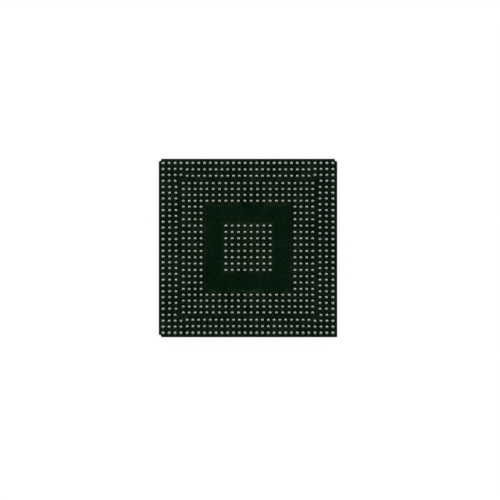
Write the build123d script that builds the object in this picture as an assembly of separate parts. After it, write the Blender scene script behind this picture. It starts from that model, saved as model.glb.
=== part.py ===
from build123d import *
import os

# Plastic ball grid array package with 676 solder balls, lying on its mould cap with the balls up.
# The origin is the middle of the cap's flat face, and +Z goes up to the balls.
# All sizes are in millimetres. Seen from above, +X is right and +Y is up.

# Laminate: glass cloth and resin with its inner copper, square, notched at three corners
body_side = 31.0
laminate_thickness = 0.50
notch_radius = 0.45

# Solder mask on both sides of the laminate
mask_thickness = 0.03
mask_setback = 0.10
mask_opening = 0.45

# Solder balls, measured from the face of the mask
ball_height = 0.50

# Ball lines of the outer ring: a block of 4 x 4 in each corner, three rows between the blocks
edge_margin = 0.80
corner_pitch = 1.025
corner_lines_each_way = 4
row_pitch = 1.106
rows_deep = 3
side_pitch = 1.006
side_gap = 0.90

# Ball lines of the middle ring and of the block under the die
inner_pitch = 1.097
middle_core_lines = 14
middle_edge_pitch = 1.022
ring_gap = 1.0
center_lines = 8

# Mould cap, widest where it meets the laminate, of which it leaves a rim bare
cap_height = 1.17
cap_rim = 2.5
cap_draft = 30
cap_corner_chamfer = 1.5
cap_edge_radius = 0.12
dimple_diameter = 1.2
dimple_depth = 0.10
dimple_inset = 2.0

# Silicon die and the adhesive under it
die_side = 9.0
die_thickness = 0.30
attach_thickness = 0.03
attach_rim = 0.15

# Copper on the die side: pad, ground ring, power ring, bond fingers, each a gap from the last
copper_thickness = 0.018
die_pad_rim = 0.30
copper_gap = 0.20
ring_width = 0.40
finger_length = 0.60
finger_width = 0.16
finger_corner_margin = 0.60
window_margin = 0.20

# Gold bond wires, from the die's edge to the rings and fingers
wires_per_side = 24
wires_per_group = 6
ground_place = 2
power_place = 5
wire_diameter = 0.025
pad_corner_margin = 0.475
pad_inset = 0.12
loop_height = 0.20
heel_height = 0.08

# Thermal vias under the die, one over each land of the center block
via_diameter = 0.30

# Gold-plated strip that the mould gate peels off, on the diagonal of the square corner
gate_width = 1.4
gate_corner_margin = 1.9
gate_clearance = 0.10

quarter_turns = (0, 90, 180, 270)

# Levels, from the table up
mask_face = cap_height + mask_thickness
finger_face = mask_face - copper_thickness
die_back = finger_face - attach_thickness
die_face = die_back - die_thickness
laminate_top = mask_face + laminate_thickness
land_face = laminate_top + mask_thickness

# Half widths on the die side, from the middle out
cap_side = body_side - 2 * cap_rim
attach_half = die_side / 2 + attach_rim
die_pad_half = attach_half + die_pad_rim
ground_ring_start = die_pad_half + copper_gap
power_ring_start = ground_ring_start + ring_width + copper_gap
finger_start = power_ring_start + ring_width + copper_gap
window_half = finger_start + finger_length + window_margin
pad_line = die_side / 2 - pad_inset
ground_line = ground_ring_start + ring_width / 2
power_line = power_ring_start + ring_width / 2
finger_line = finger_start + finger_length / 2


def even_lines(pitch, count):
    """Lines at an even pitch, as many on one side of the middle as on the other."""
    return [(index - (count - 1) / 2) * pitch for index in range(count)]


def on_four_sides(shapes):
    """The shapes of one side, turned on to all four sides of the package."""
    return [Rot(0, 0, turn) * shape for turn in quarter_turns for shape in shapes]


def turned_places(places):
    """The places of one side or corner, turned on to all four."""
    found = []
    for _ in quarter_turns:
        found += places
        places = [(-y, x) for x, y in places]
    return found


def spread_lines(half_span, count):
    """Lines from one end of a span to the other, evenly."""
    return even_lines(2 * half_span / (count - 1), count)


def corner_block_lines():
    """Lines of a corner's block of balls, from the outermost inwards."""
    outer_line = body_side / 2 - edge_margin
    return [outer_line - corner_pitch * index for index in range(corner_lines_each_way)]


def side_row_lines():
    """Lines of the rows of balls between the corner blocks, from the outermost inwards."""
    outer_line = body_side / 2 - edge_margin
    return [outer_line - row_pitch * index for index in range(rows_deep)]


def corner_places():
    """The four outermost places, on which the package stands when it is turned over."""
    outermost = corner_block_lines()[0]
    return turned_places([(outermost, outermost)])


def outer_ring_places():
    """Corner blocks without their outermost and innermost place, and the rows between them."""
    corner = corner_block_lines()
    rows = side_row_lines()
    half_count = int((corner[-1] - side_gap) / side_pitch + 0.5)
    block = [
        (x, y)
        for i, x in enumerate(corner)
        for j, y in enumerate(corner)
        if 0 < i + j and min(i, j) < rows_deep
    ]
    side = [(x, y) for x in rows for y in even_lines(side_pitch, 2 * half_count)]
    return turned_places(block + side)


def middle_ring_places():
    """All crossings of the middle lines outside the square of its core lines."""
    core = even_lines(inner_pitch, middle_core_lines)
    room = side_row_lines()[-1] - ring_gap - core[-1]
    edge_count = int(room / middle_edge_pitch)
    edge = [core[-1] + middle_edge_pitch * (index + 1) for index in range(edge_count)]
    lines = [-line for line in edge] + core + edge
    return [(x, y) for x in lines for y in lines if max(abs(x), abs(y)) > core[-1]]


def center_places():
    """The square block of balls under the die."""
    lines = even_lines(inner_pitch, center_lines)
    return [(x, y) for x in lines for y in lines]


def body_outline(setback):
    """The square body, notched by a quarter round at three corners, drawn a setback inside."""
    corner = body_side / 2
    half = corner - setback
    notch = Circle(notch_radius + setback)
    notched_corners = [(-corner, corner), (corner, corner), (-corner, -corner)]
    outline = Rectangle(2 * half, 2 * half)
    for x, y in notched_corners:
        outline -= Pos(x, y) * notch
    return outline


def layer(outline, bottom, thickness):
    """A flat outline drawn upwards from a level."""
    return Pos(0, 0, bottom) * extrude(outline, thickness)


def pierced_layer(outline, places, hole_diameter, bottom, thickness):
    """A layer with one round hole at each place."""
    holes = [Pos(x, y) * Wire.make_circle(hole_diameter / 2) for x, y in places]
    return layer(Face(outline.face().outer_wire(), holes), bottom, thickness)


def discs(places, diameter, bottom, thickness):
    """One round disc or plug at each place."""
    disc = layer(Circle(diameter / 2), bottom, thickness)
    return Compound([Pos(x, y) * disc for x, y in places])


def square_ring(start, width):
    """A square frame of copper that starts at a half width from the middle."""
    end = start + width
    outline = Rectangle(2 * end, 2 * end) - Rectangle(2 * start, 2 * start)
    return layer(outline, finger_face, copper_thickness)


def lands(places):
    """The copper that shows in each opening of the mask, flush with its face."""
    return discs(places, mask_opening, laminate_top, mask_thickness)


def thermal_vias():
    """Copper plugs through the laminate, from the die pad to the lands of the center block."""
    return discs(center_places(), via_diameter, mask_face, laminate_thickness)


def solder_ball():
    """A sphere cut flat where it is soldered to its land, from its profile turned about Z."""
    land_radius = mask_opening / 2
    ball_radius = (ball_height**2 + land_radius**2) / (2 * ball_height)
    equator = (ball_radius, ball_height - ball_radius)
    bulge = ThreePointArc((land_radius, 0), equator, (0, ball_height))
    flat = Polyline((0, ball_height), (0, 0), (land_radius, 0))
    return revolve(make_face(Plane.XZ * (bulge + flat)), Axis.Z)


def solder_balls(places):
    """One ball on the land at each place."""
    ball = solder_ball()
    return Compound([Pos(x, y, land_face) * ball for x, y in places])


def gate_outline():
    """The strip from the cap's chamfer towards the square corner, along the diagonal."""
    inner_end = (cap_side - cap_corner_chamfer) / 2**0.5 + gate_clearance
    outer_end = body_side / 2**0.5 - gate_corner_margin
    strip = Rectangle(outer_end - inner_end, gate_width)
    return Rot(0, 0, -45) * Pos((inner_end + outer_end) / 2, 0) * strip


def laminate():
    """The square board, bored for the thermal vias."""
    return pierced_layer(
        body_outline(0), center_places(), via_diameter, mask_face, laminate_thickness
    )


def ball_side_mask():
    """The mask round the lands, held back a little from the laminate's edge."""
    places = corner_places() + outer_ring_places() + middle_ring_places() + center_places()
    return pierced_layer(
        body_outline(mask_setback), places, mask_opening, laminate_top, mask_thickness
    )


def die_side_mask():
    """The mask of the other side, open over the bonding copper and over the gate strip."""
    window = Rectangle(2 * window_half, 2 * window_half)
    outline = body_outline(mask_setback) - window - gate_outline()
    return layer(outline, cap_height, mask_thickness)


def pad_lines():
    """Lines of the bonding pads along one side of the die."""
    return spread_lines(die_side / 2 - pad_corner_margin, wires_per_side)


def finger_lines():
    """Lines of the fingers, which fan out from the pads."""
    return spread_lines(finger_start - finger_corner_margin, wires_per_side)


def ring_wire_numbers(place):
    """Wires of one side that end on a ring: the one at this place in every group."""
    return [number for number in range(wires_per_side) if number % wires_per_group == place]


def signal_wire_numbers():
    """Wires of one side that end on a finger: all but those of the two rings."""
    to_rings = ring_wire_numbers(ground_place) + ring_wire_numbers(power_place)
    return [number for number in range(wires_per_side) if number not in to_rings]


def bond_fingers():
    """One finger for each signal wire."""
    finger = layer(Rectangle(finger_length, finger_width), finger_face, copper_thickness)
    lines = finger_lines()
    side = [Pos(finger_line, lines[number]) * finger for number in signal_wire_numbers()]
    return on_four_sides(side)


def bond_wire(number, end_line):
    """One wire: up from its pad, across in a straight run, down on to the copper at end_line."""
    pad_y = pad_lines()[number]
    finger_y = finger_lines()[number]
    reach = (end_line - pad_line) / (finger_line - pad_line)
    end_y = pad_y + reach * (finger_y - pad_y)
    route = Polyline(
        (pad_line, pad_y, die_face),
        (pad_line, pad_y, die_face - loop_height),
        (end_line, end_y, finger_face - heel_height),
        (end_line, end_y, finger_face),
    )
    section = Plane(origin=route @ 0, z_dir=route % 0) * Circle(wire_diameter / 2)
    return sweep(section, route, transition=Transition.RIGHT)


def bond_wires(numbers, end_line):
    """The wires of these numbers on every side, all ending at one distance from the middle."""
    return on_four_sides([bond_wire(number, end_line) for number in numbers])


def mould_cap(embedded):
    """The drafted cap with its fill of the mask's window, moulded round all that it holds."""
    base = Rectangle(cap_side, cap_side)
    base = chamfer(base.vertices(), cap_corner_chamfer)
    downwards = Plane(origin=(0, 0, cap_height), z_dir=(0, 0, -1))
    cap = extrude(downwards * base, cap_height, taper=cap_draft)
    cap = fillet(cap.faces().sort_by(Axis.Z)[0].edges(), cap_edge_radius)
    cap += layer(Rectangle(2 * window_half, 2 * window_half), cap_height, mask_thickness)
    dimple_line = cap.faces().sort_by(Axis.Z)[0].bounding_box().max.X - dimple_inset
    dimple = layer(Circle(dimple_diameter / 2), 0, dimple_depth)
    return cap - Pos(dimple_line, -dimple_line) * dimple - embedded


die_pad = layer(Rectangle(2 * die_pad_half, 2 * die_pad_half), finger_face, copper_thickness)
ground_ring = square_ring(ground_ring_start, ring_width)
power_ring = square_ring(power_ring_start, ring_width)
fingers = bond_fingers()
die_attach = layer(Rectangle(2 * attach_half, 2 * attach_half), die_back, attach_thickness)
silicon_die = layer(Rectangle(die_side, die_side), die_face, die_thickness)
signal_wires = bond_wires(signal_wire_numbers(), finger_line)
ground_wires = bond_wires(ring_wire_numbers(ground_place), ground_line)
power_wires = bond_wires(ring_wire_numbers(power_place), power_line)
single_pieces = [die_pad, ground_ring, power_ring, die_attach, silicon_die]
inside_cap = single_pieces + fingers + signal_wires + ground_wires + power_wires

nodes = {
    "mould_cap": mould_cap(inside_cap),
    "laminate": laminate(),
    "ball_side_mask": ball_side_mask(),
    "die_side_mask": die_side_mask(),
    "corner_lands": lands(corner_places()),
    "outer_ring_lands": lands(outer_ring_places()),
    "middle_ring_lands": lands(middle_ring_places()),
    "center_lands": lands(center_places()),
    "corner_balls": solder_balls(corner_places()),
    "outer_ring_balls": solder_balls(outer_ring_places()),
    "middle_ring_balls": solder_balls(middle_ring_places()),
    "center_balls": solder_balls(center_places()),
    "thermal_vias": thermal_vias(),
    "die_pad": die_pad,
    "ground_ring": ground_ring,
    "power_ring": power_ring,
    "bond_fingers": Compound(fingers),
    "die_attach": die_attach,
    "silicon_die": silicon_die,
    "signal_wires": Compound(signal_wires),
    "ground_wires": Compound(ground_wires),
    "power_wires": Compound(power_wires),
    "mould_gate_land": layer(gate_outline(), finger_face, copper_thickness),
}

os.makedirs("parts", exist_ok=True)
for name, shape in nodes.items():
    export_step(shape, f"parts/{name}.step")
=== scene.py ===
# %% [markdown]
# # A ball grid array package, balls up
#
# A chip package 31 mm square lies on its black mould cap, and its solder balls face the camera.
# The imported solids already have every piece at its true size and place. This script gives each
# surface its finish, rebuilds the balls with smooth meshes, and adds the fine copper pattern
# that shows as a faint relief through the green solder mask.
#
# All lengths are in metres. +Z points up, from the cap to the tips of the balls.

import math

import bpy
import numpy as np
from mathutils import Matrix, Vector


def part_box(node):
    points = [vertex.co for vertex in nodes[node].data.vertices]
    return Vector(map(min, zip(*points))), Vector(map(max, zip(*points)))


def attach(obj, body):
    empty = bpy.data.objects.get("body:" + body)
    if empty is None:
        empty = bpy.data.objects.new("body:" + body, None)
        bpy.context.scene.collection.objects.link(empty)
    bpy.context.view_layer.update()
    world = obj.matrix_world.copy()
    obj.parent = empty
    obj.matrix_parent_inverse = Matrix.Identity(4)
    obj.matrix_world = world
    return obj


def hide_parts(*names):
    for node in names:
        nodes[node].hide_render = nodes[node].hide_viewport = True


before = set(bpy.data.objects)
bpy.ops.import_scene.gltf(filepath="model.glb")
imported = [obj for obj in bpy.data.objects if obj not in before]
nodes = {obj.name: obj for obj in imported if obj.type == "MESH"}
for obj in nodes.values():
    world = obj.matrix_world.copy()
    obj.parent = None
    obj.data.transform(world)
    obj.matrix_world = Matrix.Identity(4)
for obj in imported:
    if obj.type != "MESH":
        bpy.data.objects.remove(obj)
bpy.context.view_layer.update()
MILLIMETRE = 0.001

# %% [markdown]
# ## The camera
#
# The photograph looks straight down on the balls, so the camera needs no turn: a new camera looks
# along -Z with +Y up. A long lens, far away, keeps the sides of the balls out of sight, as in the
# photograph. What has to be found is the distance: the body is 178.5 of the photograph's 500
# pixels wide, and that fixes the width of the frame, which the lens then turns into a distance.
# The body is two pixels off the middle of the picture, so the camera stands a little to the side.
#
# The Standard view transform shows every tint as it is given, without a film look.

# %% Camera
PHOTO_PIXELS = 500
BODY_PIXELS = 178.5
BODY_CENTRE_PIXEL = (248.0, 248.0)
LENS = 100.0
SENSOR = 36.0
CLIP_REACH = 100

body_low, body_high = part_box("laminate")
body_side = body_high.x - body_low.x
mask_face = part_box("ball_side_mask")[1].z
metres_per_pixel = body_side / BODY_PIXELS
camera_distance = PHOTO_PIXELS * metres_per_pixel * LENS / SENSOR

camera_data = bpy.data.cameras.new("overhead_camera")
camera_data.lens = LENS
camera_data.sensor_width = SENSOR
camera_data.clip_start = camera_distance / CLIP_REACH
camera_data.clip_end = camera_distance * CLIP_REACH
camera = bpy.data.objects.new("overhead_camera", camera_data)
camera.location = (
    (PHOTO_PIXELS / 2 - BODY_CENTRE_PIXEL[0]) * metres_per_pixel,
    (BODY_CENTRE_PIXEL[1] - PHOTO_PIXELS / 2) * metres_per_pixel,
    mask_face + camera_distance,
)
bpy.context.scene.collection.objects.link(camera)
bpy.context.scene.camera = camera
bpy.context.scene.view_settings.view_transform = "Standard"
print("camera height in mm:", round(camera_distance / MILLIMETRE, 1))

# %% [markdown]
# ## Shader maths as Python
#
# A material is a graph of nodes, and its arithmetic is easier to read as an expression. This small
# class wraps a socket: `a * 2 + b` adds the two Math nodes that work it out. Every other node comes
# from one method, which takes the node's type, its settings, and what goes into its inputs.
#
# Sockets are called by name where their names differ. The Mix node has a set of sockets of the
# same names for each kind of data, so its sockets for colours are taken by number.

# %% The wrapped socket
MIX_FACTOR = 0
MIX_COLOURS = (6, 7)
MIX_RESULT = 2


class Wire:
    """One output of a shader node. Arithmetic on it adds Math nodes to the same node tree."""

    def __init__(self, tree, socket=None):
        self.tree = tree
        self.socket = socket

    def node(self, kind, settings, inputs, output=0):
        """Adds a node: its settings first, then a value or a wire for each input."""
        made = self.tree.nodes.new(kind)
        for name, value in settings.items():
            setattr(made, name, value)
        for key, value in inputs.items():
            if isinstance(value, Wire):
                self.tree.links.new(value.socket, made.inputs[key])
            else:
                made.inputs[key].default_value = value
        return Wire(self.tree, made.outputs[output])

    def math(self, operation, *others):
        """A Math node with this wire first, such as math("SINE") or math("MAXIMUM", other)."""
        inputs = dict(enumerate((self, *others)))
        return self.node("ShaderNodeMath", {"operation": operation}, inputs)

    def __add__(self, other):
        return self.math("ADD", other)

    def __sub__(self, other):
        return self.math("SUBTRACT", other)

    def __rsub__(self, other):
        return self * -1.0 + other

    def __mul__(self, other):
        return self.math("MULTIPLY", other)

    __radd__ = __add__
    __rmul__ = __mul__

    def between(self, low, high):
        """Goes from the value low to the value high as this wire goes from 0 to 1."""
        return self * (high - low) + low

    def blend(self, other, share):
        """This wire with the given share, and the other with the rest."""
        return self * share + other * (1.0 - share)

    def clamp(self):
        """Held between 0 and 1."""
        return self.node("ShaderNodeClamp", {}, {"Value": self, "Min": 0.0, "Max": 1.0})

    def step(self, start, end):
        """A smooth step: 0 below start, 1 above end."""
        settings = {"interpolation_type": "SMOOTHSTEP"}
        inputs = {"Value": self, "From Min": start, "From Max": end, "To Min": 0.0, "To Max": 1.0}
        return self.node("ShaderNodeMapRange", settings, inputs)

    def mix(self, colour_a, colour_b):
        """Goes from colour_a to colour_b as this wire goes from 0 to 1."""
        settings = {"data_type": "RGBA", "clamp_factor": True}
        inputs = {MIX_FACTOR: self}
        for key, colour in zip(MIX_COLOURS, (colour_a, colour_b)):
            inputs[key] = colour if isinstance(colour, Wire) else (*colour, 1.0)
        return self.node("ShaderNodeMix", settings, inputs, output=MIX_RESULT)


print("wires ready: + - * between blend clamp step mix")

# %% [markdown]
# ## A finish and its patterns
#
# Every finish here is a Principled shader. What is the same all over the surface, such as how
# metallic it is, is set on the shader itself. What varies is fed by patterns on Object coordinates,
# which are metres on this model, so a pattern's grain is given as a length.


# %% New finish
class Finish:
    """A material with one Principled shader, its steady values, and wires for what varies."""

    def __init__(self, name, **steady):
        self.material = bpy.data.materials.new(name)
        self.material.use_nodes = True
        tree = self.material.node_tree
        self.shader = tree.nodes["Principled BSDF"]
        for socket, value in steady.items():
            self.shader.inputs[socket.replace("_", " ")].default_value = value
        self.start = Wire(tree)
        self.place = self.start.node("ShaderNodeTexCoord", {}, {}, output="Object")

    def feed(self, socket, wire):
        """Lets a wire drive one of the shader's sockets."""
        self.start.tree.links.new(wire.socket, self.shader.inputs[socket])

    def noise(self, grain, detail=2.0, roughness=0.5):
        """Cloudy noise between 0 and 1 with lumps about one grain across."""
        inputs = {
            "Vector": self.place,
            "Scale": 1.0 / grain,
            "Detail": detail,
            "Roughness": roughness,
        }
        return self.start.node("ShaderNodeTexNoise", {}, inputs)

    def along(self, axis):
        """The X, Y or Z of the place on the piece, in metres."""
        return self.start.node("ShaderNodeSeparateXYZ", {}, {"Vector": self.place}, output=axis)

    def attribute(self, name):
        """A number stored on the mesh by name."""
        settings = {"attribute_name": name}
        return self.start.node("ShaderNodeAttribute", settings, {}, output="Fac")

    def bump(self, height, depth):
        """Lifts the surface by up to depth where height is 1."""
        inputs = {"Height": height, "Distance": depth, "Strength": 1.0}
        self.feed("Normal", self.start.node("ShaderNodeBump", {}, inputs))


print("finishes ready: feed noise along attribute bump")

# %% [markdown]
# ## Where the balls stand
#
# The places of the balls could be written out here once more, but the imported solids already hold
# them. The tip of a ball is its highest point, so the highest points of a group's mesh are the
# places of its balls, seen from above. The land under the last ball of a group ends at the group's
# own box, and that gives the radius of a land.

# %% Places of the balls
GROUPS = ("corner", "outer_ring", "middle_ring", "center")
SAME_PLACE = 0.0001 * MILLIMETRE


def ball_places(node):
    """x and y of every ball of a node, from the highest points of its mesh."""
    data = nodes[node].data
    points = np.empty(len(data.vertices) * 3)
    data.vertices.foreach_get("co", points)
    points = points.reshape(-1, 3)
    tips = points[points[:, 2] > points[:, 2].max() - SAME_PLACE]
    return np.unique(np.round(tips[:, :2] / SAME_PLACE), axis=0) * SAME_PLACE


spots = {group: ball_places(group + "_balls") for group in GROUPS}
land_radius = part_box("corner_lands")[1].x - spots["corner"][:, 0].max()
mask_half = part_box("ball_side_mask")[1].x
print({group: len(places) for group, places in spots.items()}, "land radius in mm:",
      round(land_radius / MILLIMETRE, 3))

# %% [markdown]
# ## Solder mask
#
# The mask is a thin coat of dark green lacquer over copper and resin. Between the balls it lies
# mostly on bare resin and looks nearly black, with a brown tint. The wide bare ring round the
# middle block covers a plane of copper, and there it is greener, as it is along the rim.
#
# A picture could carry these tints, but a formula on places needs no file and stays sharp from
# near by. How far out a place lies is the larger of |x| and |y|, since ring and rim are square, and
# smooth steps along it mark the zones.

# %% Zones of the mask
RING_MARGIN = 1.2 * MILLIMETRE
GREEN_MARGIN = 0.9 * MILLIMETRE
RING_BLUR = 0.6 * MILLIMETRE

outermost_center = np.abs(spots["center"]).max()
innermost_middle = np.abs(spots["middle_ring"]).max(axis=1).min()
green_inside = outermost_center + GREEN_MARGIN
ring_inside = outermost_center + RING_MARGIN
ring_outside = innermost_middle - RING_MARGIN
rim_inside = np.abs(spots["corner"]).max() + land_radius
print("bare ring from", round(ring_inside / MILLIMETRE, 2), "to",
      round(ring_outside / MILLIMETRE, 2), "mm from the middle")

# %% [markdown]
# Over copper and over resin the coat has two tints each, a deep one and a pale one, and a broad
# noise with a fine one in it moves between them. The middle block is a little paler. A finer bump
# is the slight orange peel of the coat. Straight from above such a coat mirrors little, so its
# mirror level is low.

# %% Tints of the mask
MASK_OVER_PLANE = (0.0008, 0.0104, 0.0027)
MASK_OVER_PLANE_PALE = (0.0034, 0.0152, 0.0062)
MASK_OVER_RESIN = (0.0011, 0.0092, 0.0024)
MASK_OVER_RESIN_PALE = (0.0125, 0.0235, 0.0114)
MASK_OVER_TRACES = (0.0016, 0.0130, 0.0038)
TRACE_SHARE = (0.5, 0.9)

CLOUD_GRAIN = 2.6 * MILLIMETRE
SPECKLE_GRAIN = 0.26 * MILLIMETRE
CLOUD_SHARE = 0.4
PALE_RANGE = (0.42, 0.55)
MIDDLE_PALER = 0.03
print("green of the mask from", MASK_OVER_RESIN[1], "to", MASK_OVER_RESIN_PALE[1])

# %% Solder mask finish
MASK_MIRROR = 0.18
MASK_ROUGHNESS = (0.17, 0.27)
PEEL_GRAIN = 0.25 * MILLIMETRE
PEEL_DEPTH = 0.002 * MILLIMETRE


def mask_finish(name, traces):
    """Solder mask, either the coat itself or its lighter tint where it covers a trace."""
    finish = Finish(name, Metallic=0.0, IOR=1.5, Specular_IOR_Level=MASK_MIRROR)
    cloud = finish.noise(CLOUD_GRAIN, detail=4.0, roughness=0.6)
    speckle = finish.noise(SPECKLE_GRAIN, detail=3.0)
    far = finish.along("X").math("ABSOLUTE").math("MAXIMUM", finish.along("Y").math("ABSOLUTE"))
    past_middle = far.step(ring_inside - RING_BLUR, ring_inside)
    past_ring = far.step(ring_outside, ring_outside + RING_BLUR)
    in_ring = far.step(green_inside - RING_BLUR, green_inside) - past_ring
    on_rim = far.step(rim_inside, mask_half)
    pale = (cloud.blend(speckle, CLOUD_SHARE) - past_middle * MIDDLE_PALER).step(*PALE_RANGE)
    over_resin = pale.mix(MASK_OVER_RESIN, MASK_OVER_RESIN_PALE)
    over_plane = pale.mix(MASK_OVER_PLANE, MASK_OVER_PLANE_PALE)
    tint = (in_ring + on_rim).mix(over_resin, over_plane)
    if traces:
        tint = speckle.between(*TRACE_SHARE).mix(tint, MASK_OVER_TRACES)
    finish.feed("Base Color", tint)
    finish.feed("Roughness", speckle.between(*MASK_ROUGHNESS))
    finish.bump(finish.noise(PEEL_GRAIN), PEEL_DEPTH)
    return finish


coat_finish = mask_finish("solder_mask", traces=False)
print("mask finish with", len(coat_finish.material.node_tree.nodes), "nodes")


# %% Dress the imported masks
def dress(node_names, finish):
    """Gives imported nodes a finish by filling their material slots."""
    for name in node_names:
        data = nodes[name].data
        data.materials.clear()
        data.materials.append(finish.material)
    print(finish.material.name, "on", ", ".join(node_names))


dress(["ball_side_mask", "die_side_mask"], coat_finish)

# %% [markdown]
# ## Many copies of one small shape
#
# The balls and the copper shapes under the mask each come in hundreds. An object for each would
# be slow to load and hard to keep in order, so all copies of a shape go into one mesh: the points
# of every copy are worked out at once as one array, and the faces of the first copy are numbered
# on for the others. Every such shape ends in its flat underside, which is kept out of the smooth
# shading.


# %% Copies in one mesh
def mesh_of_copies(name, points, faces):
    """A mesh from an array of points, copy by copy, and the faces of one copy, underside last.

    A corner of copy number c is the same corner of the first copy, moved on by c times the
    points of one copy.
    """
    count, points_each, _ = points.shape
    corners_each = np.concatenate(faces)
    corners = (np.arange(count)[:, None] * points_each + corners_each).ravel()
    sizes = np.tile([len(face) for face in faces], count)
    smooth_each = [True] * (len(faces) - 1) + [False]
    data = bpy.data.meshes.new(name)
    data.vertices.add(count * points_each)
    data.vertices.foreach_set("co", points.ravel())
    data.loops.add(len(corners))
    data.loops.foreach_set("vertex_index", corners.astype(np.int32))
    data.polygons.add(len(sizes))
    data.polygons.foreach_set("loop_start", (np.cumsum(sizes) - sizes).astype(np.int32))
    data.update(calc_edges=True)
    data.polygons.foreach_set("use_smooth", np.tile(smooth_each, count))
    data.validate()
    return data


print("shapes to copy:", sum(len(places) for places in spots.values()), "balls")


# %% Faces between rings of points
def rings_of_faces(rings, around):
    """Quads between neighbouring rings of points, each ring counterclockwise and above the next.

    A quad joins two neighbours on one ring with the same two on the ring below. The next band of
    quads is the same, numbered on by the points of one ring.
    """
    here = np.arange(around)
    there = (here + 1) % around
    first_band = np.column_stack([here, here + around, there + around, there])
    numbered_on = np.arange(rings - 1)[:, None, None] * around
    return [tuple(face) for face in np.concatenate(first_band + numbered_on).tolist()]


print("quads between two triangles:", rings_of_faces(2, 3))


# %% Link a piece
def add_piece(data, finish, replaced=()):
    """Links a finished mesh as a piece of the package, in place of the nodes it replaces."""
    piece = bpy.data.objects.new(data.name, data)
    data.materials.append(finish.material)
    bpy.context.scene.collection.objects.link(piece)
    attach(piece, "root")
    if replaced:
        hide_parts(*replaced)
    print(piece.name, len(data.polygons), "faces")


# %% [markdown]
# ## Copper that shows through the mask
#
# From each land in the rings a short trace leads outwards, on the diagonal, to a via between four
# balls, so the pattern looks like hundreds of small bones. The outermost lands have a trace to the
# edge of the board instead, which fed the gold plating. All of it is etched copper under the mask,
# and on the finished package it is a faint raised pattern in a slightly lighter green.
#
# A bump could fake it, but the balls stand on uneven lines, which no repeating pattern follows. So
# each trace gets a low shape of its own, placed from its land. One outline serves for both kinds: a
# straight trace that runs into a round end. On a via the end is wider than the trace, and on a tie
# to the edge it is just as wide. The outline is drawn twice, once at the foot and once a slope's
# width inside it, at the top.

# %% Outline of a trace
TRACE_HALF_WIDTH = 0.055 * MILLIMETRE
VIA_RADIUS = 0.16 * MILLIMETRE
END_POINTS = 10
POINTS_ROUND = END_POINTS + 2


def trace_outline(reach, end_radius, inside):
    """Points (s, t) round traces that run along s, drawn a distance inside their outline.

    A trace starts at the land, at s = land_radius. Its end is round about s = reach: the point at
    angle f is (reach + r cos f, r sin f), and f spans all of the circle that lies off the trace.
    """
    half_width = TRACE_HALF_WIDTH - inside
    radius = end_radius - inside
    span = math.pi - np.arcsin(np.minimum(half_width / radius, 1.0))
    angle = span[:, None] * np.linspace(-1.0, 1.0, END_POINTS)
    start = np.full((len(reach), 1), land_radius + inside)
    along = np.hstack([start, reach[:, None] + radius[:, None] * np.cos(angle), start])
    side = np.full((len(reach), 1), half_width)
    across = np.hstack([-side, radius[:, None] * np.sin(angle), side])
    return along, across


print("points round one trace:", POINTS_ROUND)

# %% Relief of a trace
RELIEF_HEIGHT = 0.008 * MILLIMETRE
RELIEF_DEPTH = 0.004 * MILLIMETRE
SLOPE_WIDTH = 0.035 * MILLIMETRE


def relief_points(places, toward, reach, end_radius):
    """Top and foot of each trace's relief.

    An outline point (s, t) lies at the land's place, plus s along the trace's direction, plus t
    to the left of it. The foot is sunk a little into the mask.
    """
    left = np.column_stack([-toward[:, 1], toward[:, 0]])
    levels = [(SLOPE_WIDTH, RELIEF_HEIGHT), (0.0, -RELIEF_DEPTH)]
    rings = []
    for inside, level in levels:
        along, across = trace_outline(reach, end_radius, inside)
        flat = (
            places[:, None, :]
            + along[:, :, None] * toward[:, None, :]
            + across[:, :, None] * left[:, None, :]
        )
        rings.append(np.dstack([flat, np.full(along.shape, mask_face + level)]))
    return np.concatenate(rings, axis=1)


print("relief in mm above the mask:", round(RELIEF_HEIGHT / MILLIMETRE, 3))

# %% [markdown]
# Every land of the two rings gets one of these shapes. A land on the outermost line points straight
# out, along x or y, whichever is its larger coordinate, and its tie ends just short of the mask's
# edge. All other lands point away from the middle on the diagonal, and their vias lie half a pitch
# further out each way. The points and faces then go into one mesh.

# %% Direction and length of each trace
VIA_STEP = 0.53 * MILLIMETRE
EDGE_ROOM = 0.03 * MILLIMETRE
OUTERMOST_WITHIN = 0.10 * MILLIMETRE

ringed = np.vstack([spots[group] for group in GROUPS if group != "center"])
distance = np.abs(ringed)
is_tie = distance.max(axis=1) > distance.max() - OUTERMOST_WITHIN
diagonal = np.sign(ringed) / math.sqrt(2)
straight = np.sign(ringed) * np.eye(2)[distance.argmax(axis=1)]
toward = np.where(is_tie[:, None], straight, diagonal)
to_edge = mask_half - EDGE_ROOM - TRACE_HALF_WIDTH - distance.max(axis=1)
reach = np.where(is_tie, to_edge, VIA_STEP * math.sqrt(2))
end_radius = np.where(is_tie, TRACE_HALF_WIDTH, VIA_RADIUS)
print(int((~is_tie).sum()), "vias and", int(is_tie.sum()), "ties to the edge")

# %% Traces and vias in one mesh
relief_top = tuple(range(POINTS_ROUND))
relief_underside = tuple(range(2 * POINTS_ROUND - 1, POINTS_ROUND - 1, -1))
relief_faces = [relief_top] + rings_of_faces(2, POINTS_ROUND) + [relief_underside]
relief_data = mesh_of_copies(
    "trace_relief", relief_points(ringed, toward, reach, end_radius), relief_faces
)
add_piece(relief_data, mask_finish("solder_mask_over_traces", traces=True))

# %% [markdown]
# ## Solder balls
#
# Each ball is a drop of tin alloy that melted on its land and set there as a truncated sphere,
# bright but frosted. No two are quite alike, so each carries one random number, which makes its
# skin a little duller or brighter. The frost is a fine noise in tint, roughness and bump.

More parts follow.
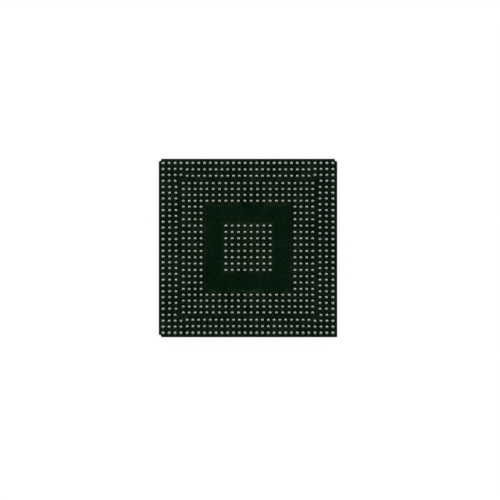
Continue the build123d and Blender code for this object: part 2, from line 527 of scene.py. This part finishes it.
# %% Solder finish
SOLDER_BRIGHT = (0.408, 0.470, 0.408)
SOLDER_DULL = (0.262, 0.312, 0.270)
TONE_SHARE = 0.4
SOLDER_ROUGHNESS = 0.17
TONE_ROUGHNESS = 0.05
FROST_ROUGHNESS = 0.12
FROST_GRAIN = 0.06 * MILLIMETRE
FROST_DEPTH = 0.003 * MILLIMETRE

solder_finish = Finish("reflowed_solder", Metallic=1.0)
ball_tone = solder_finish.attribute("ball_tone")
frost = solder_finish.noise(FROST_GRAIN, detail=3.0)
solder_finish.feed("Base Color", ball_tone.blend(frost, TONE_SHARE).mix(SOLDER_BRIGHT, SOLDER_DULL))
solder_finish.feed(
    "Roughness", SOLDER_ROUGHNESS + ball_tone * TONE_ROUGHNESS + frost * FROST_ROUGHNESS
)
solder_finish.bump(frost, FROST_DEPTH)
print("solder finish with", len(solder_finish.material.node_tree.nodes), "nodes")

# %% [markdown]
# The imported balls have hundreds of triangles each, and there are hundreds of them. Rebuilt here,
# one ball gets only a few dozen faces, since smooth shading makes it round. Its surface is a
# function of two angles: the one down from the tip, and the turn about the axis.

# %% Ball surface
BALL_TURNS = 12
BALL_BANDS = 5
LAP = 0.004 * MILLIMETRE


def ball_surface(height):
    """Points and faces of one ball that stands on z = 0.

    Over a flat of radius a, a sphere h high has the radius R = (h*h + a*a) / 2h. At the angle p
    down from the tip a point lies R sin p from the axis, at h - R (1 - cos p), from the tip at
    p = 0 to the flat. The lowest ring laps over the land's rim all round, also between its points.
    """
    radius = (height**2 + land_radius**2) / (2 * height)
    polar = np.linspace(0.0, math.pi - math.asin(land_radius / radius), BALL_BANDS + 1)[1:]
    turn = np.arange(BALL_TURNS) * 2 * math.pi / BALL_TURNS
    across = radius * np.sin(polar)
    across[-1] = (land_radius + LAP) / math.cos(math.pi / BALL_TURNS)
    ring_points = [np.outer(across, np.cos(turn)), np.outer(across, np.sin(turn))]
    ring_points += [np.repeat(height - radius * (1 - np.cos(polar)), BALL_TURNS)]
    rings = np.column_stack([part.ravel() for part in ring_points])
    points = np.vstack([rings, [0.0, 0.0, height]])
    tip = [(len(rings), a, (a + 1) % BALL_TURNS) for a in range(BALL_TURNS)]
    underside = [tuple(range(len(rings) - 1, len(rings) - 1 - BALL_TURNS, -1))]
    return points, tip + rings_of_faces(BALL_BANDS, BALL_TURNS) + underside


ball_low, ball_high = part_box("corner_balls")
ball_points, ball_faces = ball_surface(ball_high.z - ball_low.z)
print("one ball:", len(ball_points), "points and", len(ball_faces), "faces")

# %% [markdown]
# All balls have one size and stand at one level, so a copy of this one goes to every place. The
# random numbers are squared, so most balls are bright and only some are dull.

# %% Balls of all groups
TONE_SEED = 676

tones = np.random.default_rng(TONE_SEED)
for group, places in spots.items():
    node = group + "_balls"
    feet = np.column_stack([places, np.full(len(places), ball_low.z)])
    data = mesh_of_copies("solder_" + node, feet[:, None, :] + ball_points, ball_faces)
    tone = np.repeat(tones.random(len(places)) ** 2, len(ball_points))
    data.attributes.new("ball_tone", "FLOAT", "POINT").data.foreach_set("value", tone)
    add_piece(data, solder_finish, [node])

# %% [markdown]
# ## Black moulding compound
#
# The cap is epoxy filled with glass powder, cast in a spark-eroded mould, which leaves an even
# matte grain. It is not quite black. The grain is far too fine for faces, so it is a bump, and the
# filler shows as a slight unevenness of tone.

# %% Moulding compound finish
COMPOUND_DARK = (0.012, 0.012, 0.013)
COMPOUND_PALE = (0.034, 0.034, 0.036)
COMPOUND_ROUGHNESS = (0.55, 0.80)
COMPOUND_GRAIN = 0.07 * MILLIMETRE
COMPOUND_DEPTH = 0.012 * MILLIMETRE
FILLER_CLOUD = 4.0 * MILLIMETRE
GRAIN_SHARE = 0.6

compound_finish = Finish("moulding_compound", Metallic=0.0, IOR=1.5)
grain = compound_finish.noise(COMPOUND_GRAIN, detail=3.0, roughness=0.6)
filler = compound_finish.noise(FILLER_CLOUD)
compound_tone = grain.blend(filler, GRAIN_SHARE)
compound_finish.feed("Base Color", compound_tone.mix(COMPOUND_DARK, COMPOUND_PALE))
compound_finish.feed("Roughness", grain.between(*COMPOUND_ROUGHNESS))
compound_finish.bump(grain, COMPOUND_DEPTH)
dress(["mould_cap"], compound_finish)

# %% [markdown]
# ## Laminate
#
# Only the punched edge shows. It is glass cloth in resin: thin level plies, with pale cut ends of
# fibre between darker resin. Five or six plies could be modelled one by one, but they are bonded
# into one piece and only their colour tells them apart. So they are a sine along Z, made uneven by
# noise, and the same noise leaves only some stretches of them pale.

# %% Laminate finish
RESIN = (0.0060, 0.0062, 0.0045)
GLASS_ENDS = (0.045, 0.042, 0.026)
RESIN_ROUGHNESS = (0.5, 0.8)
PLY_HEIGHT = 0.09 * MILLIMETRE
PLY_WAVER = 2.5
WEAVE_GRAIN = 0.16 * MILLIMETRE
GLASS_RANGE = (0.45, 0.7)
FIBRE_DEPTH = 0.01 * MILLIMETRE

laminate_finish = Finish("laminate_edge", Metallic=0.0, IOR=1.5)
weave = laminate_finish.noise(WEAVE_GRAIN)
phase = laminate_finish.along("Z") * (2 * math.pi / PLY_HEIGHT) + weave * PLY_WAVER
ply = phase.math("SINE") * 0.5 + 0.5
fibre = ply * weave.step(*GLASS_RANGE)
laminate_finish.feed("Base Color", fibre.mix(RESIN, GLASS_ENDS))
laminate_finish.feed("Roughness", weave.between(*RESIN_ROUGHNESS))
laminate_finish.bump(fibre, FIBRE_DEPTH)
dress(["laminate"], laminate_finish)

# %% [markdown]
# ## Metals and silicon
#
# The gold-plated strip at the square corner shows from below. The other copper, the die, its glue
# and its wires are sealed in, and they get the finish that they have on a bench before moulding.
# All of them are plain surfaces with a fine grain, so one helper makes them from two tints, a
# grain and a roughness.

# %% Plain finishes with a grain
GRAIN_FLATNESS = 20
ROUGHNESS_SPREAD = 0.15


def grained_finish(name, light, dark, grain, roughness, metallic=1.0):
    """A finish that moves between two tints with its grain, which also varies its gloss."""
    finish = Finish(name, Metallic=metallic)
    pattern = finish.noise(grain, detail=3.0)
    finish.feed("Base Color", pattern.mix(light, dark))
    finish.feed("Roughness", pattern.between(roughness, roughness + ROUGHNESS_SPREAD))
    finish.bump(pattern, grain / GRAIN_FLATNESS)
    return finish


gold_plate = grained_finish(
    "gold_plate", (0.90, 0.66, 0.28), (0.74, 0.50, 0.18), grain=0.05 * MILLIMETRE, roughness=0.25
)
copper = grained_finish(
    "via_copper", (0.80, 0.42, 0.28), (0.60, 0.28, 0.17), grain=0.05 * MILLIMETRE, roughness=0.35
)
gold_wire = grained_finish(
    "gold_wire", (0.95, 0.72, 0.30), (0.85, 0.60, 0.22), grain=0.02 * MILLIMETRE, roughness=0.15
)
dress([group + "_lands" for group in GROUPS], gold_plate)
dress(["die_pad", "ground_ring", "power_ring", "bond_fingers", "mould_gate_land"], gold_plate)
dress(["thermal_vias"], copper)
dress(["signal_wires", "ground_wires", "power_wires"], gold_wire)

# %% [markdown]
# The glue is epoxy full of silver flakes, so it is only partly metallic. Ground silicon is a dark
# grey mirror, with a coarser and very faint grain.

# %% Glue and silicon
glue = grained_finish(
    "silver_glue", (0.48, 0.48, 0.49), (0.34, 0.34, 0.35),
    grain=0.10 * MILLIMETRE, roughness=0.40, metallic=0.3,
)
silicon = grained_finish(
    "silicon", (0.15, 0.16, 0.19), (0.09, 0.10, 0.13),
    grain=0.30 * MILLIMETRE, roughness=0.10, metallic=0.6,
)
dress(["die_attach"], glue)
dress(["silicon_die"], silicon)

# %% [markdown]
# ## Floor
#
# The photograph's ground is pure white. White paper under strong lamps would be white too, but the
# same lamps would wash out the package. So the floor shows itself as white to the camera and in
# reflections, and still takes a small part of its light from the lamps, so that the package keeps a
# faint shadow. A Mix Shader joins the two, with its share in socket 0 and its shaders in 1 and 2.

# %% Floor mesh
FLOOR_HALF = 1.0

floor_data = bpy.data.meshes.new("floor")
floor_corners = [(-FLOOR_HALF, -FLOOR_HALF, 0), (FLOOR_HALF, -FLOOR_HALF, 0)]
floor_corners += [(FLOOR_HALF, FLOOR_HALF, 0), (-FLOOR_HALF, FLOOR_HALF, 0)]
floor_data.from_pydata(floor_corners, [], [(0, 1, 2, 3)])
floor = bpy.data.objects.new("floor", floor_data)
bpy.context.scene.collection.objects.link(floor)
print("floor side in m:", 2 * FLOOR_HALF)

# %% Floor finish
FLOOR_SHOWN = 0.9
FLOOR_GLOW = 1.06
PAPER = (0.82, 0.82, 0.82, 1.0)
WHITE = (1.0, 1.0, 1.0, 1.0)

floor_material = bpy.data.materials.new("pale_floor")
floor_material.use_nodes = True
floor_material.node_tree.nodes.clear()
ground = Wire(floor_material.node_tree)
camera_ray, glossy_ray, glass_ray = (
    ground.node("ShaderNodeLightPath", {}, {}, output=kind)
    for kind in ("Is Camera Ray", "Is Glossy Ray", "Is Transmission Ray")
)
shown = (camera_ray + glossy_ray + glass_ray).clamp() * FLOOR_SHOWN
paper = ground.node("ShaderNodeBsdfDiffuse", {}, {"Color": PAPER})
glow = ground.node("ShaderNodeEmission", {}, {"Color": WHITE, "Strength": FLOOR_GLOW})
mixed = ground.node("ShaderNodeMixShader", {}, {0: shown, 1: paper, 2: glow})
floor_output = floor_material.node_tree.nodes.new("ShaderNodeOutputMaterial")
floor_material.node_tree.links.new(mixed.socket, floor_output.inputs["Surface"])
floor_data.materials.append(floor_material)
print("share of the floor that glows:", FLOOR_SHOWN)

# %% [markdown]
# ## Lamp and world
#
# The bright patch on each ball is an arch: it covers the far half and both flanks, and leaves the
# near side dark, with a notch in the middle where the ball mirrors the camera's side. So the light
# stands behind the package and at both sides, there is little of it in front, and straight overhead
# it is dark. That dark spot is also what the glossy mask mirrors, which keeps it deep. A soft box
# behind the package gives the shadow its direction, and the world gives all the rest.

# %% Lamp
LAMP_SIDES = (0.80, 0.26)
LAMP_POWER = 0.5
LAMP_PLACE = (0.0, 0.32, 0.30)

box_data = bpy.data.lights.new("back_box", "AREA")
box_data.shape = "RECTANGLE"
box_data.size, box_data.size_y = LAMP_SIDES
box_data.energy = LAMP_POWER
back_box = bpy.data.objects.new("back_box", box_data)
back_box.location = LAMP_PLACE
back_box.rotation_mode = "QUATERNION"
back_box.rotation_quaternion = (-back_box.location).to_track_quat("-Z", "Y")
bpy.context.scene.collection.objects.link(back_box)
print("lamp turned to the middle of the package:", back_box.name)

# %% [markdown]
# For a world, the Generated place is the direction of view. Its parts say how far a direction
# points sideways, backward and upward, each from -1 to 1, and a smooth step along each of them
# turns the light up or down.

# %% World
DIM = 0.07
BRIGHT = 0.85
SIDES = 0.70
OVERHEAD = 0.02
BACK_RANGE = (-0.65, 0.13)
SIDE_RANGE = (0.45, 0.95)
OVERHEAD_RANGE = (0.90, 0.985)

world = bpy.data.worlds.new("studio")
world.use_nodes = True
world.node_tree.nodes.clear()
bpy.context.scene.world = world
sky = Wire(world.node_tree)
direction = sky.node("ShaderNodeTexCoord", {}, {}, output="Generated")
sideways, backward, upward = (
    sky.node("ShaderNodeSeparateXYZ", {}, {"Vector": direction}, output=axis) for axis in "XYZ"
)
round_about = backward.step(*BACK_RANGE).between(DIM, BRIGHT)
round_about += sideways.math("ABSOLUTE").step(*SIDE_RANGE) * SIDES
overhead = upward.step(*OVERHEAD_RANGE)
light_level = round_about * (1.0 - overhead) + overhead * OVERHEAD
seen = sky.node("ShaderNodeLightPath", {}, {}, output="Is Camera Ray")
strength = light_level * (1.0 - seen) + seen
background = sky.node("ShaderNodeBackground", {}, {"Color": WHITE, "Strength": strength})
sky_output = world.node_tree.nodes.new("ShaderNodeOutputWorld")
world.node_tree.links.new(background.socket, sky_output.inputs["Surface"])
print("world from", DIM, "in front to", BRIGHT, "behind")
